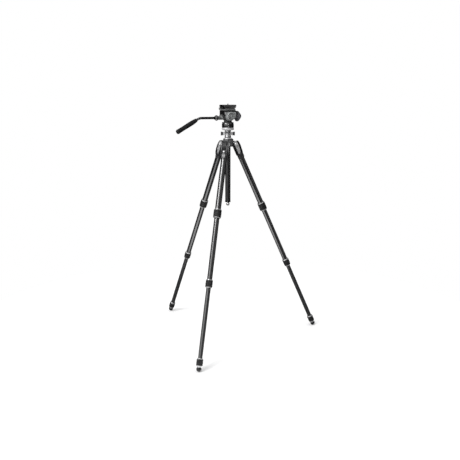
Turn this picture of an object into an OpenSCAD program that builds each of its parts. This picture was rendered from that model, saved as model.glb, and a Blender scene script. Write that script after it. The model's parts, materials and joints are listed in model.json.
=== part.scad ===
/* [Legs] */
// Angle between each open leg and the vertical, in degrees
leg_angle = 24.25; // [23:0.25:25]
// Distance from a leg's hinge to the centre of its foot ball
leg_length = 1083.7; // [1078:0.5:1090]
// Distance of the leg hinges from the column's axis
hinge_radius = 39; // [39:0.5:41]
// Outer diameters of the four leg sections, from the top one down
section_d = [28.7, 25, 21.3, 17.5];
// Wall thickness of the leg sections
section_wall = 1.2; // [1:0.1:1.25]
// Distances from the hinge to the middle of the three leg locks
lock_at = [352, 691, 1054];
// Outer diameters of the three leg locks
lock_d = [38.5, 34, 31];
// Lengths of the three leg locks
lock_length = [43, 39, 37];
// Diameter of the ball at the end of each foot
foot_d = 24.5; // [23:0.5:26]

/* [Column] */
// Outer diameter of the centre column
column_d = 27; // [26.6:0.2:27.2]
// Length of the column's tube
column_length = 354; // [340:1:370]
// Diameter of the disc that the head stands on
disc_d = 60; // [58:1:62]
// Thickness of that disc
disc_h = 11.8; // [11:0.1:14]
// Distance from wing tip to wing tip on the column's collar
wing_span = 70; // [64:1:72]
// Direction of one of those wings when the collar is tight, in degrees from +X
wing_heading = 16; // [0:1:90]

/* [Head] */
// Direction that the head points at rest, in degrees from +X
head_heading = 47; // [40:1:50]
// Diameter of the pan base
base_d = 59; // [58:0.5:60]
// Height of the tilt axis above the bottom of the head
tilt_height = 56; // [55:0.5:57]
// Radius of the tilt drum
drum_r = 22; // [21:0.5:22]
// Direction of the pan lock's knob, in degrees from the head's right-hand side
pan_lock_heading = -13; // [-20:1:20]
// Length of the quick release plate
plate_length = 70; // [66:1:72]
// Width of the quick release plate
plate_width = 50; // [48:1:52]
// Largest diameter of the tilt lock cone
cone_d = 52; // [48:1:53]

/* [Pan bar] */
// Diameter of the pan bar
bar_d = 12; // [11:0.5:12.5]
// Length of the bar behind the tilt axis, up to its bend
bar_straight = 135; // [125:1:145]
// Angle of the bend, in degrees
bar_bend = 28; // [20:1:32]
// Diameter of the rubber grip
grip_d = 23.5; // [20:0.5:25]
// Length of the rubber grip
grip_length = 122; // [110:1:130]

/* [Hidden] */
$fn = 64;
SIDES = ["front", "right", "left"];
LEG_PARTS = ["casting", "angle_latch", "tube_1", "tube_2", "tube_3", "tube_4", "lock_1", "lock_2",
    "lock_3", "foot"];
TRIPOD_PARTS = ["spider", "hinge_bolts", "column_bushing", "column_collar", "column_tube", "top_disc",
    "head_stud", "column_end_cap", "hook_spring", "weight_hook"];
HEAD_PARTS = ["pan_base", "pan_lock_knob", "pan_shaft", "turret", "tilt_shaft", "tilt_cradle",
    "tilt_axis_cap",
    "tilt_lock_cone", "clamp_base", "clamp_jaw", "clamp_knob", "safety_button", "quick_plate", "plate_pad",
    "camera_screw", "bar_holder", "rosette_knob", "bar_collar", "pan_bar", "bar_grip"];

// Running clearance between a pin and its hole, on the radius
run = 0.05;
// Gap between parts that only pass each other
gap = 0.3;

// Leg levels, measured down the leg from its hinge
leg_azimuth = [-90, 30, 150];
hinge_z = leg_length * cos(leg_angle) + foot_d / 2 - 0.35;
section_r = section_d / 2;
section_top = [50, 317, 651, 662];
section_end = [lock_at[0], lock_at[1], lock_at[2], 1076];
casting_end = 78;
casting_r = section_r[0] + 1.2;
pad_face = 16.4;
ear_r = 15;
ear_edge = 17.6;
ear_inner = 11.4;
ear_outer = 17;
lug_r = 13;
lug_half = 11;
bolt_r = 4;
// the latch: its seat on the casting and its pin
latch_face = 13.1;
latch_pin_r = 1.5;
latch_pin_x = 15.5;
latch_pin_z = -30;

// Column levels, measured up from the floor
hub_r = 25;
hub_bottom = hinge_z - 12;
hub_top = hinge_z + 14;
ring_top = hinge_z + 29.5;
collar_top = ring_top + 38.7;
disc_bottom = collar_top + 0.5;
column_r = column_d / 2;
column_bottom = disc_bottom - column_length;
head_z = disc_bottom + disc_h;
hook_stem_r = 3;
hook_ring_z = column_bottom - 17.5;
spring_low = column_bottom + 9;
spring_h = 21;

// Stud and screw sizes: 3/8 inch and 1/4 inch camera threads
stud_r = 4.76;
screw_r = 3.175;
stud_up = 10.5;

// Head levels, measured up from the head's own bottom face
base_r = base_d / 2;
base_h = 24;
turntable_h = 3.2;
cheek_in = 16.2;
cheek_out = 23.5;
cheek_r = 23.5;
rosette_face = 31;
platform_low = tilt_height + 27;
platform_top = tilt_height + 35;
channel_z = platform_top + 6;
dovetail_h = 5;
plate_z = channel_z + dovetail_h + 0.5;
plate_h = 9;
pad_h = 1.5;
dovetail_half = 19;
jaw_end = 14;
button_x = 24;
button_z = platform_top + 4.4;
knob_x = -24;
knob_z = platform_top + 2;
pan_lock_z = 13;
bar_y = 44;
bar_z = tilt_height - 9;
bar_r = bar_d / 2;
cone_x = 50;
cone_len = 25;
grip_start = 20;
holder_outer = 53.6;

// Radii of the head's shafts, screws and pins
pan_shaft_r = 8;
tilt_shaft_r = 5;
cone_screw_r = 4;
knob_screw_r = 3;
clamp_screw_r = 1.5;
button_r = 2.5;
// The two bolts that hold the quick release to the platform
platform_bolt_x = 14;
platform_bolt_r = 2.6;
// Half the thickness of the tilt drum
drum_half = 15.8;

// Outline of the dovetail channel, in Y and Z above the channel's floor
function channel_outline() = let (wide = dovetail_half + gap + run, rise = dovetail_h + 1)
    [[-wide, 0], [wide, 0], [wide - rise, rise], [-wide + rise, rise]];

// A tube along Z, open at both ends
module pipe(r_out, r_in, low, high) {
    translate([0, 0, low]) difference() {
        cylinder(r = r_out, h = high - low);
        translate([0, 0, -1]) cylinder(r = r_in, h = high - low + 2);
    }
}

// A solid of revolution about Z from points [radius, height]
module lathe(points) {
    rotate_extrude() polygon(points);
}

// A flat shape drawn in X and Z, given a thickness along Y
module side_plate(y_low, y_high) {
    translate([0, y_high, 0]) rotate([90, 0, 0]) linear_extrude(height = y_high - y_low) children();
}

// A cylinder along Y
module pin_y(r, y_low, y_high) {
    translate([0, y_low, 0]) rotate([-90, 0, 0]) cylinder(r = r, h = y_high - y_low);
}

// A cylinder along X
module pin_x(r, x_low, x_high) {
    translate([x_low, 0, 0]) rotate([0, 90, 0]) cylinder(r = r, h = x_high - x_low);
}

// A box given by its lowest and highest corners
module block(low, high) {
    translate(low) cube(high - low);
}

// A rectangle with round corners, drawn with true arcs
module round_rect(width, height, r) {
    square([width - 2 * r, height], center = true);
    square([width, height - 2 * r], center = true);
    for (x = [-1, 1]) for (y = [-1, 1]) translate([x * (width / 2 - r), y * (height / 2 - r)]) circle(r = r);
}

// ---- Frames of reference ----

// The frame of one leg: origin on its hinge, -Z down the leg, +X away from the column
module on_leg(i) {
    rotate([0, 0, leg_azimuth[i]]) translate([hinge_radius, 0, hinge_z]) rotate([0, -leg_angle,
        0]) children();
}

// The frame of the head: origin in the middle of its bottom face, +X the way it points
module on_head() {
    translate([0, 0, head_z]) rotate([0, 0, head_heading]) children();
}

// The frame of the tilting part: as the head's, but with the origin on the tilt axis
module on_tilt() {
    translate([0, 0, tilt_height]) children();
}

// ---- Leg parts ----

module casting() {
    color("lightgray") difference() {
        union() {
            translate([0, 0, -casting_end]) cylinder(r = casting_r, h = casting_end - 18);
            for (y = [-1, 1]) side_plate(min(y * ear_inner, y * ear_outer), max(y * ear_inner,
                y * ear_outer)) {
                circle(r = ear_r);
                polygon([[-ear_r, 0], [ear_r, 0], [ear_edge, -10], [ear_edge, -34], [casting_r, -50],
                    [10, -62], [-9, -64],
                    [-ear_r, -58]]);
            }
            block([-ear_r, -ear_outer, -52], [latch_face, ear_outer, -18]);
            block([10, -8, -74], [pad_face, 8, -52]);
            translate([latch_face - 1, 0, -43]) rotate([0, 90, 0]) cylinder(r = 5.2, h = 5);
        }
        // seat of the top section, with room above it for the sections that nest inside
        translate([0, 0, -casting_end - 1]) cylinder(r = section_r[0] + 0.02,
            h = casting_end - section_top[0] + 1);
        translate([0, 0, -section_top[0] - 1]) cylinder(r = section_r[1] + gap, h = section_top[0] - 23);
        pin_y(bolt_r + run, -ear_outer - 1, ear_outer + 1);
        // seat of the latch and its pin
        translate([latch_pin_x, 0, latch_pin_z]) pin_y(latch_pin_r + run, -ear_outer + 2, ear_outer - 2);
        block([latch_face, -ear_inner, -37], [30, ear_inner, 20]);
        // two rows of grip slots on the outer side
        for (s = [59, 68]) for (y = [-1, 1]) translate([pad_face, y * 3.6, -s]) cube([2.4, 4.8, 5],
            center = true);
    }
}

module angle_latch() {
    color("dimgray") {
        side_plate(-10.6, 10.6) polygon([[13.6, 3], [11.4, 8.6], [16, 12.2], [19, 6.5], [20.6, -4],
            [21, -14], [20.4, -24],
            [18.4, -30], [16, -33.5], [13.9, -32], [13.4, -26], [14.4, -20], [14.6, -12]]);
        translate([latch_pin_x, 0, latch_pin_z]) pin_y(latch_pin_r, 2.5 - ear_outer, ear_outer - 2.5);
    }
}

module section(i) {
    color("dimgray") pipe(section_r[i], section_r[i] - section_wall, -section_end[i], -section_top[i]);
}

// A twist lock: a ribbed sleeve that is bored for the upper section and for the lower one
module twist_lock(i) {
    half = lock_length[i] / 2;
    r = lock_d[i] / 2;
    upper = section_r[i] + 0.1;
    lower = section_r[i + 1] + 0.1;
    color("black") translate([0, 0, -lock_at[i]]) lathe([
        [upper, half], [r - 1.6, half], [r - 1, half - 3], [r - 0.4, half - 4], [r, 0],
        [r - 0.4, 4 - half], [r - 1.4, 2.5 - half], [r - 2.2, -half], [lower, -half], [lower, -gap],
            [upper, -gap]]);
}

module foot() {
    r = foot_d / 2;
    collar_end = leg_length - lock_at[2] - lock_length[2] / 2 - gap;
    tube_end = leg_length - section_end[3] - 0.02;
    plug_r = section_r[3] - section_wall - 0.02;
    difference() {
        color("black") translate([0, 0, -leg_length]) rotate_extrude() {
            intersection() {
                circle(r = r);
                translate([0, -r]) square([r, r]);
            }
            polygon([[0, 0], [r, 0], [r - 0.6, collar_end - 5], [r - 1.2, collar_end - 4],
                [r - 1.2, collar_end],
                [section_r[3] + 0.02, collar_end], [section_r[3] + 0.02, tube_end], [plug_r, tube_end],
                [plug_r, tube_end + 18], [0, tube_end + 18]]);
        }
        // the flat patch that stands on the floor
        translate([0, 0, -leg_length]) rotate([0, leg_angle, 0]) block([-20, -20, -20], [20, 20, 0.35 - r]);
    }
}

// ---- Tripod top and column ----

module spider() {
    bore_r = column_r + 2.2;
    color("gainsboro") difference() {
        union() {
            translate([0, 0, hub_bottom]) cylinder(r = hub_r, h = hub_top - hub_bottom);
            translate([0, 0, hub_top - 0.01]) lathe([[0, 0], [hub_r, 0], [22.5, 4], [21, 5], [21, 10],
                [22, 11],
                [22, ring_top - hub_top], [0, ring_top - hub_top]]);
            for (a = leg_azimuth) rotate([0, 0, a]) {
                translate([hinge_radius, 0, hinge_z]) pin_y(lug_r, -lug_half, lug_half);
                block([10, -lug_half, hinge_z - 12], [hinge_radius, lug_half, hinge_z + 12]);
                // shoulder between the arm and the ring
                translate([0, 0, hinge_z]) side_plate(-8, 8) polygon([[15, 8], [28.5, 8], [26.5, 23],
                    [23, 27], [15, 27]]);
            }
        }
        translate([0, 0, hub_bottom - 1]) cylinder(r = bore_r, h = ring_top - hub_bottom + 2);
        for (a = leg_azimuth) rotate([0, 0, a]) translate([hinge_radius, 0, hinge_z]) {
            pin_y(bolt_r + 0.02, -lug_half - 1, lug_half + 1);
            // three notches, one for each leg angle that the latch can hold
            for (notch = [20, 48, 76]) rotate([0, -notch, 0]) block([lug_r - 1.6, -8, -1.6],
                [lug_r + 2, 8, 1.6]);
        }
    }
}

module hinge_bolts() {
    color("silver") for (a = leg_azimuth) rotate([0, 0, a]) translate([hinge_radius, 0,
        hinge_z]) difference() {
        union() {
            pin_y(bolt_r, -ear_outer - 1, ear_outer + 1);
            for (y = [-1, 1]) pin_y(7, min(y * (ear_outer + gap), y * (ear_outer + 3.5)),
                max(y * (ear_outer + gap), y * (ear_outer + 3.5)));
        }
        for (y = [-1, 1]) translate([0, y * (ear_outer + 3), 0]) rotate([90, 0, 0])
            cylinder(r = 2.9, h = 3, center = true, $fn = 6);
    }
}

module column_bushing() {
    color("black") pipe(column_r + 2.18, column_r + run, hub_bottom + 1, ring_top - 0.5);
}

// The collar that clamps the column, with its two wings
module column_collar() {
    low = ring_top + gap;
    r = column_r + 2.4;
    color("silver") difference() {
        union() {
            translate([0, 0, low]) lathe([[0, 0], [r - 1, 0], [r, 1], [r, 10], [r - 0.8, 11], [r - 0.8, 34],
                [r, 35], [r, collar_top - low - 1], [r - 1, collar_top - low], [0, collar_top - low]]);
            for (side = [0, 180]) rotate([0, 0, wing_heading + side]) {
                block([10, -5.5, low + 14], [wing_span / 2 - 6, 5.5, low + 30]);
                translate([wing_span / 2 - 6, 0, low + 22]) pin_y(6, -5.5, 5.5);
                block([wing_span / 2 - 7, -5.5, low + 13], [wing_span / 2, 5.5, low + 31]);
            }
        }
        translate([0, 0, low - 1]) cylinder(r = column_r + 0.15, h = collar_top - low + 2);
    }
}

module column_tube() {
    color("dimgray") pipe(column_r, column_r - 1.6, column_bottom, disc_bottom);
}

module top_disc() {
    r = disc_d / 2;
    plug = column_r - 1.6 - 0.02;
    color("whitesmoke") translate([0, 0, disc_bottom]) lathe([[stud_r + 0.02, -22], [plug, -22], [plug, 0.02],
        [r - 3.5, 0.02], [r - 0.8, 2], [r, 3], [r, disc_h - 1], [r - 1, disc_h], [stud_r + 0.02, disc_h]]);
}

module head_stud() {
    color("silver") translate([0, 0, disc_bottom - 14]) lathe([[0, 0], [stud_r, 0],
        [stud_r, 14 + disc_h + stud_up - 1],
        [stud_r - 1, 14 + disc_h + stud_up], [0, 14 + disc_h + stud_up]]);
}

module column_end_cap() {
    plug = column_r - 1.6 - 0.02;
    color("black") translate([0, 0, column_bottom]) lathe([[hook_stem_r + run, -8], [11, -8], [14.2, -6],
        [14.2, -gap],
        [plug, -gap], [plug, 8], [hook_stem_r + run, 8]]);
}

module hook_spring() {
    turns = 6;
    color("silver") translate([0, 0, spring_low])
        linear_extrude(height = spring_h, twist = -360 * turns, slices = 96, $fn = 8)
            translate([5.2, 0]) circle(r = 0.9);
}

module weight_hook() {
    top = spring_low + spring_h + 0.6;
    ring_r = 6.2;
    color("dimgray") {
        translate([0, 0, top]) cylinder(r = 8, h = 3);
        translate([0, 0, hook_ring_z + ring_r - 1]) cylinder(r = hook_stem_r,
            h = top - hook_ring_z - ring_r + 2);
        translate([0, 0, hook_ring_z]) rotate([90, 0, 0]) rotate([0, 0, 88]) rotate_extrude(angle = 290)
            translate([ring_r, 0]) circle(r = 2.2);
    }
}

// ---- Head ----

module pan_base() {
    color("black") on_head() difference() {
        union() {
            lathe([[0, 0], [base_r - 2, 0], [base_r, 2], [base_r, base_h - 5], [base_r - 1.5, base_h - 3],
                [base_r - 1.5, base_h], [0, base_h]]);
            rotate([0, 0, pan_lock_heading]) translate([0, -20, pan_lock_z]) pin_y(8.6, -13, 0);
        }
        translate([0, 0, -1]) cylinder(r = stud_r + 0.02, h = 12.5);
        translate([0, 0, 12.6]) cylinder(r = pan_shaft_r + run, h = base_h);
        rotate([0, 0, pan_lock_heading]) translate([0, 0, pan_lock_z]) pin_y(knob_screw_r + run, -40, -15);
    }
}

module pan_lock_knob() {
    color("dimgray") on_head() rotate([0, 0, pan_lock_heading]) translate([0, 0, pan_lock_z]) {
        pin_y(knob_screw_r, -34, -15.5);
        rotate([90, 0, 0]) translate([0, 0, 33.4]) lathe([[0, 0], [6.5, 0], [8, 1.5], [8, 9], [7, 10.5],
            [0, 11]]);
    }
}

module pan_shaft() {
    color("silver") on_head() translate([0, 0, 13.2]) cylinder(r = pan_shaft_r, h = 24);
}

// The turret turns on the base and carries the tilt drum
module turret() {
    low = base_h + gap;
    color("gray") on_head() difference() {
        union() {
            translate([0, 0, low]) lathe([[0, 0], [base_r - 1.5, 0], [base_r - 1, 1],
                [base_r - 1, turntable_h - 1],
                [base_r - 2, turntable_h], [0, turntable_h]]);
            block([-14, -drum_half, low + 1], [14, drum_half, tilt_height]);
            on_tilt() pin_y(drum_r, -drum_half, drum_half);
        }
        cylinder(r = pan_shaft_r + 0.02, h = 37.2);
        on_tilt() pin_y(tilt_shaft_r + run, -17, 17);
    }
}

module tilt_shaft() {
    color("silver") on_head() on_tilt() pin_y(tilt_shaft_r, -cheek_out + 1, cheek_out - 1);
}

// The cradle straddles the drum: two cheeks, a front and a rear wall, and the platform on top
module tilt_cradle() {
    top = platform_top - tilt_height;
    low = platform_low - tilt_height;
    color("darkgray") on_head() on_tilt() difference() {
        union() {
            block([-30, -24.5, low], [30, 24.5, top]);
            block([26, -24.5, -5], [32, 24.5, low + 1]);
            block([-33, -24.5, 8], [-27, 24.5, low + 1]);
            for (y = [-1, 1]) {
                pin_y(cheek_r, min(y * cheek_in, y * cheek_out), max(y * cheek_in, y * cheek_out));
                block([-28, min(y * cheek_in, y * 20), 8], [27, max(y * cheek_in, y * 20), low + 1]);
            }
            pin_x(9.5, 31, 43);
            pin_y(13, cheek_out - 1, rosette_face);
        }
        pin_y(tilt_shaft_r + 0.02, -cheek_out + 0.9, cheek_out - 0.9);
        pin_y(knob_screw_r + 0.02, cheek_out - 2, rosette_face + 1);
        pin_x(cone_screw_r + run, 20, 50);
        for (x = [-1, 1]) translate([x * platform_bolt_x, 0, low - 1]) cylinder(r = platform_bolt_r, h = 20);
    }
}

// A round cover with concentric rings over the right-hand end of the tilt axis
module tilt_axis_cap() {
    r = drum_r - 1.5;
    depth = 12;
    color("darkgray") on_head() on_tilt() rotate([90, 0, 0]) translate([0, 0, cheek_out + 0.02]) lathe([[0,
        0], [r, 0],
        [r, depth - 2], [r - 2, depth], [r - 5, depth], [r - 5.6, depth - 1], [r - 8, depth - 1],
            [r - 8.6, depth],
        [4, depth], [3.4, depth - 1.5], [0, depth - 1.5]]);
}

// The cone clamps the tilt: its screw presses on the drum
module tilt_lock_cone() {
    r = cone_d / 2;
    color("black") on_head() on_tilt() {
        pin_x(cone_screw_r, drum_r + 0.4, cone_x + 2);
        rotate([0, 90, 0]) translate([0, 0, cone_x]) lathe([[0, -6], [10, -6], [10, -1], [r - 3, 0],
            [r, 1.6], [r, 5],
            [r - 1.4, 7.5], [9.5, cone_len - 3], [6.5, cone_len - 0.8], [3.5, cone_len], [0, cone_len]]);
    }
}

// The lower half of the quick release: a tapered block with a dovetail channel and one fixed jaw
module clamp_base() {
    low = platform_top + 0.02;
    half_w = plate_width / 2;
    color("black") on_head() difference() {
        union() {
            side_plate(-half_w + 1, half_w - 1) polygon([[-25, low], [25, low], [30, channel_z],
                [-30, channel_z]]);
            for (side = [0, 1]) mirror([0, side, 0]) side_plate(13, half_w - 1) polygon([[-30, channel_z - 1],
                [30, channel_z - 1], [34, plate_z - 0.6], [-34, plate_z - 0.6]]);
        }
        // the channel, with flanks that lean over the dovetail
        translate([-40, 0, channel_z]) rotate([90, 0,
            90]) linear_extrude(height = 80) polygon(channel_outline());
        translate([knob_x, 0, knob_z]) pin_y(clamp_screw_r + run, -40, 40);
        for (x = [-1, 1]) translate([x * platform_bolt_x, 0, low - 1]) cylinder(r = platform_bolt_r, h = 3);
        // room for the sliding jaw, and the hole of the safety button
        block([-36, -half_w - 1, low - 0.1], [jaw_end, -half_w + 5.4, channel_z + 10]);
        translate([button_x, 0, button_z]) pin_y(button_r + run, -40, -dovetail_half);
    }
}

module clamp_jaw() {
    low = platform_top + gap;
    outer = -plate_width / 2 + 0.4;
    color("dimgray") on_head() difference() {
        side_plate(outer, outer + 4.6) polygon([[-26, low], [jaw_end - gap, low],
            [jaw_end - gap, plate_z - 0.6],
            [-33.5, plate_z - 0.6]]);
        translate([-40, 0, channel_z]) rotate([90, 0,
            90]) linear_extrude(height = 80) polygon(channel_outline());
        translate([knob_x, 0, knob_z]) pin_y(clamp_screw_r + 0.02, -40, 0);
    }
}

module clamp_knob() {
    outer = plate_width / 2 + gap;
    color("silver") on_head() translate([knob_x, 0, knob_z]) {
        pin_y(clamp_screw_r, -plate_width / 2 + 0.6, outer + 1);
        rotate([-90, 0, 0]) translate([0, 0, outer]) lathe([[0, 0], [5, 0], [5, 2], [7.6, 2.4], [8, 3],
            [8, 10],
            [7.2, 11], [0, 11]]);
    }
}

module safety_button() {
    color("silver") on_head() translate([button_x, 0, button_z]) rotate([90, 0, 0]) translate([0, 0, 21.6])
        lathe([[0, 0], [button_r, 0], [button_r, 4.4], [button_r - 0.6, 5], [0, 5]]);
}

module quick_plate() {
    half = plate_length / 2;
    foot_low = dovetail_half;
    foot_high = foot_low - dovetail_h;
    color("black") on_head() difference() {
        union() {
            translate([0, 0, plate_z]) linear_extrude(height = plate_h - pad_h) round_rect(plate_length,
                plate_width, 3);
            translate([-half, 0, channel_z + gap]) rotate([90, 0, 90]) linear_extrude(height = plate_length)
                polygon([[-foot_low, 0], [foot_low, 0], [foot_high, dovetail_h],
                    [foot_high, plate_z - channel_z],
                    [-foot_high, plate_z - channel_z], [-foot_high, dovetail_h]]);
        }
        translate([0, 0, channel_z]) cylinder(r = 9.2, h = 5);
        cylinder(r = screw_r + run, h = 120);
    }
}

module plate_pad() {
    low = plate_z + plate_h - pad_h + 0.02;
    color("dimgray") on_head() translate([0, 0, low]) linear_extrude(height = pad_h) difference() {
        round_rect(plate_length - 3, plate_width - 3, 2);
        circle(r = 8);
    }
}

module camera_screw() {
    neck_r = 2.9;
    head_h = 3.6;
    low = channel_z + gap + 0.4;
    top = plate_z + plate_h + 5 - low;
    thread_low = plate_z + plate_h + gap - low;
    color("silver") on_head() difference() {
        translate([0, 0, low]) lathe([[0, 0], [9, 0], [9, head_h], [neck_r, head_h], [neck_r, thread_low],
            [screw_r, thread_low], [screw_r, top - 0.8], [screw_r - 0.8, top], [0, top]]);
        block([-10, -0.9, low - 1], [10, 0.9, low + 1.4]);
    }
}

// The rosette holder that ties the pan bar to the side of the cradle
module bar_holder() {
    color("gray") on_head() difference() {
        union() {
            on_tilt() pin_y(13.5, rosette_face + gap, holder_outer);
            translate([0, bar_y, bar_z]) pin_x(9.5, -35, 0);
        }
        on_tilt() pin_y(knob_screw_r + run, 20, 60);
        translate([0, bar_y, bar_z]) pin_x(bar_r + 0.02, -40, -9);
    }
}

module rosette_knob() {
    color("black") on_head() on_tilt() {
        pin_y(knob_screw_r, cheek_out - 0.5, holder_outer + 1);
        rotate([-90, 0, 0]) translate([0, 0, holder_outer + gap]) lathe([[0, 0], [11, 0], [12, 1],
            [12, 9], [10.5, 11], [0, 11.5]]);
    }
}

module bar_collar() {
    color("dimgray") on_head() translate([0, bar_y, bar_z]) rotate([0, -90, 0]) lathe([[bar_r + 0.1, 35.4],
        [12.6, 35.4],
        [13.5, 37], [13.5, 42], [12, 44], [8.6, 49.4], [bar_r + 0.1, 49.4]]);
}

// The bar runs back, turns down through a bend and ends inside the grip
module pan_bar() {
    bend_r = 40;
    run_out = bend_r * tan(bar_bend / 2);
    // the straight lengths start a little inside the bend, which is a hair thicker
    inside = 0.5;
    color("black") on_head() translate([0, bar_y, bar_z]) {
        pin_x(bar_r, run_out - bar_straight - inside, -9.5);
        translate([run_out - bar_straight, 0, -bend_r]) rotate([90, 0, 0]) rotate([0, 0, 90])
            rotate_extrude(angle = bar_bend) translate([bend_r, 0]) circle(r = bar_r + 0.03);
        translate([-bar_straight, 0, 0]) rotate([0, -90 - bar_bend, 0]) translate([0, 0, run_out - inside])
            cylinder(r = bar_r, h = grip_start + grip_length - run_out + inside - 6);
    }
}

module bar_grip() {
    r = grip_d / 2;
    color("black") on_head() translate([-bar_straight, bar_y, bar_z]) rotate([0, -90 - bar_bend, 0])
        translate([0, 0, grip_start]) lathe([[bar_r + 0.05, 0], [8.4, 0], [9.4, 1.2], [r - 1, 12],
            [r, 30], [r - 0.6, 60],
            [r, 95], [r - 0.4, grip_length - 7], [r - 2.2, grip_length - 2.6], [r - 5.5, grip_length],
            [0, grip_length], [0, grip_length - 5.9], [bar_r + 0.05, grip_length - 5.9]]);
}

// ---- Assembly ----

module leg_part(part) {
    if (part == "casting") casting();
    if (part == "angle_latch") angle_latch();
    for (i = [0:3]) if (part == str("tube_", i + 1)) section(i);
    for (i = [0:2]) if (part == str("lock_", i + 1)) twist_lock(i);
    if (part == "foot") foot();
}

for (i = [0:2]) for (part = LEG_PARTS)
    on_leg(i) leg_part(part);

spider();
hinge_bolts();
column_bushing();
column_collar();
column_tube();
top_disc();
head_stud();
column_end_cap();
hook_spring();
weight_hook();
pan_base();
pan_lock_knob();
pan_shaft();
turret();
tilt_shaft();
tilt_cradle();
tilt_axis_cap();
tilt_lock_cone();
clamp_base();
clamp_jaw();
clamp_knob();
safety_button();
quick_plate();
plate_pad();
camera_screw();
bar_holder();
rosette_knob();
bar_collar();
pan_bar();
bar_grip();
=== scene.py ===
"""Looks of a carbon tripod with a fluid head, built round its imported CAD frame.

Lengths in the build functions are millimetres in a part's own axes. The axes carry them into the
frame's metres.
"""

import json
import math

import bmesh
import bpy
import numpy as np
from mathutils import Matrix, Vector

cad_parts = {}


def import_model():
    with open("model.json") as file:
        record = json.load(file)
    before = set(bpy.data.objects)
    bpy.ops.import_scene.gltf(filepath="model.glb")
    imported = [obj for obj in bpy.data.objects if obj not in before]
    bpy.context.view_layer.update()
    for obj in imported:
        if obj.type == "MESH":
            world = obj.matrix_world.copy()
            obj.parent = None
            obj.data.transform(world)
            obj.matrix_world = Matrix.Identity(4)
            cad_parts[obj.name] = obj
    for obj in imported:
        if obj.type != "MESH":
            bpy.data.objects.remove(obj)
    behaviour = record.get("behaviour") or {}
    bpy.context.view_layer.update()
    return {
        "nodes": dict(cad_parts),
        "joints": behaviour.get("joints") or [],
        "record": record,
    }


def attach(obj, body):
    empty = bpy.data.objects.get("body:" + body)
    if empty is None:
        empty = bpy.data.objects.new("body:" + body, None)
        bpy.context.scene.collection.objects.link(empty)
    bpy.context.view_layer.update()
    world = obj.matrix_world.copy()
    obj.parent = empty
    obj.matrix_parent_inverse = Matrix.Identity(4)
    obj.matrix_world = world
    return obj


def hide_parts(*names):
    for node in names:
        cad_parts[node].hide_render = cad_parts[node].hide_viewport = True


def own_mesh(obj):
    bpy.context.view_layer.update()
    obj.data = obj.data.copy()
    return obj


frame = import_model()

MM = 0.001
SIDES = ("front", "right", "left")
NODES = frame["nodes"]
JOINTS = {joint["name"]: joint for joint in frame["joints"]}
BODY_OF = {node: body for body, nodes in frame["record"]["behaviour"]["bodies"].items() for node in nodes}
COLOURS = {entry["slot"]: entry["base_color"] for entry in frame["record"]["materials"]}
SLOT_OF = {part["node"]: part["material_slot"] for part in frame["record"]["subparts"]}


# ---- Axes of the parts ----


def axes(origin, forward, up):
    """A part's own axes: +X forward, +Z up, in millimetres, as a matrix into the frame."""
    z = Vector(up).normalized()
    y = z.cross(Vector(forward)).normalized()
    x = y.cross(z)
    rotation = Matrix((x, y, z)).transposed().to_4x4()
    return Matrix.Translation(origin) @ rotation @ Matrix.Scale(MM, 4)


def turned(base, degrees, axis):
    """Axes turned about one of their own axes."""
    return base @ Matrix.Rotation(math.radians(degrees), 4, axis)


def raised(base, height):
    """Axes moved along their own Z."""
    return base @ Matrix.Translation((0, 0, height))


def leg_axes(side):
    """Origin on the leg's hinge, -Z down the leg, +X away from the column."""
    hinge = Vector(JOINTS[side + "_leg_fold"]["pos_m"])
    along = Vector(JOINTS[side + "_section_2_slide"]["axis"])
    up = along if along.z > 0 else -along
    return axes(hinge, Vector((hinge.x, hinge.y, 0)), up)


def head_axes():
    """Origin in the middle of the head's bottom face, +X the way the head points."""
    left = -Vector(JOINTS["tilt"]["axis"])
    return axes(JOINTS["pan"]["pos_m"], left.cross(Vector((0, 0, 1))), (0, 0, 1))


def joint_axes(name):
    """Origin on a joint, +Z along its axis."""
    axis = Vector(JOINTS[name]["axis"])
    forward = Vector((0, 0, 1)) if abs(axis.z) < 0.5 else Vector((1, 0, 0))
    return axes(JOINTS[name]["pos_m"], forward, axis)


def long_axes(node, towards):
    """Origin in the middle of a long turned node, +Z along it."""
    points = np.unique(np.round([vertex.co for vertex in NODES[node].data.vertices], 6), axis=0)
    centre = points.mean(0)
    direction = Vector(np.linalg.svd(points - centre, full_matrices=False)[2][0])
    if direction.dot(towards) < 0:
        direction = -direction
    return axes(Vector(centre), Vector((0, 0, 1)), direction)


def extent(node, base):
    """Lowest and highest corner of a CAD node in the given axes."""
    inverse = base.inverted()
    points = np.array([inverse @ vertex.co for vertex in NODES[node].data.vertices])
    return Vector(points.min(0)), Vector(points.max(0))


LEG = {side: leg_axes(side) for side in SIDES}
HEAD = head_axes()
TILT = axes(JOINTS["tilt"]["pos_m"], HEAD.col[0].xyz, (0, 0, 1))
WORLD = Matrix.Scale(MM, 4)
# radius of the pan bar, which carries the grip and the collar
BAR_RADIUS = 6.0


# ---- Materials ----


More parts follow.
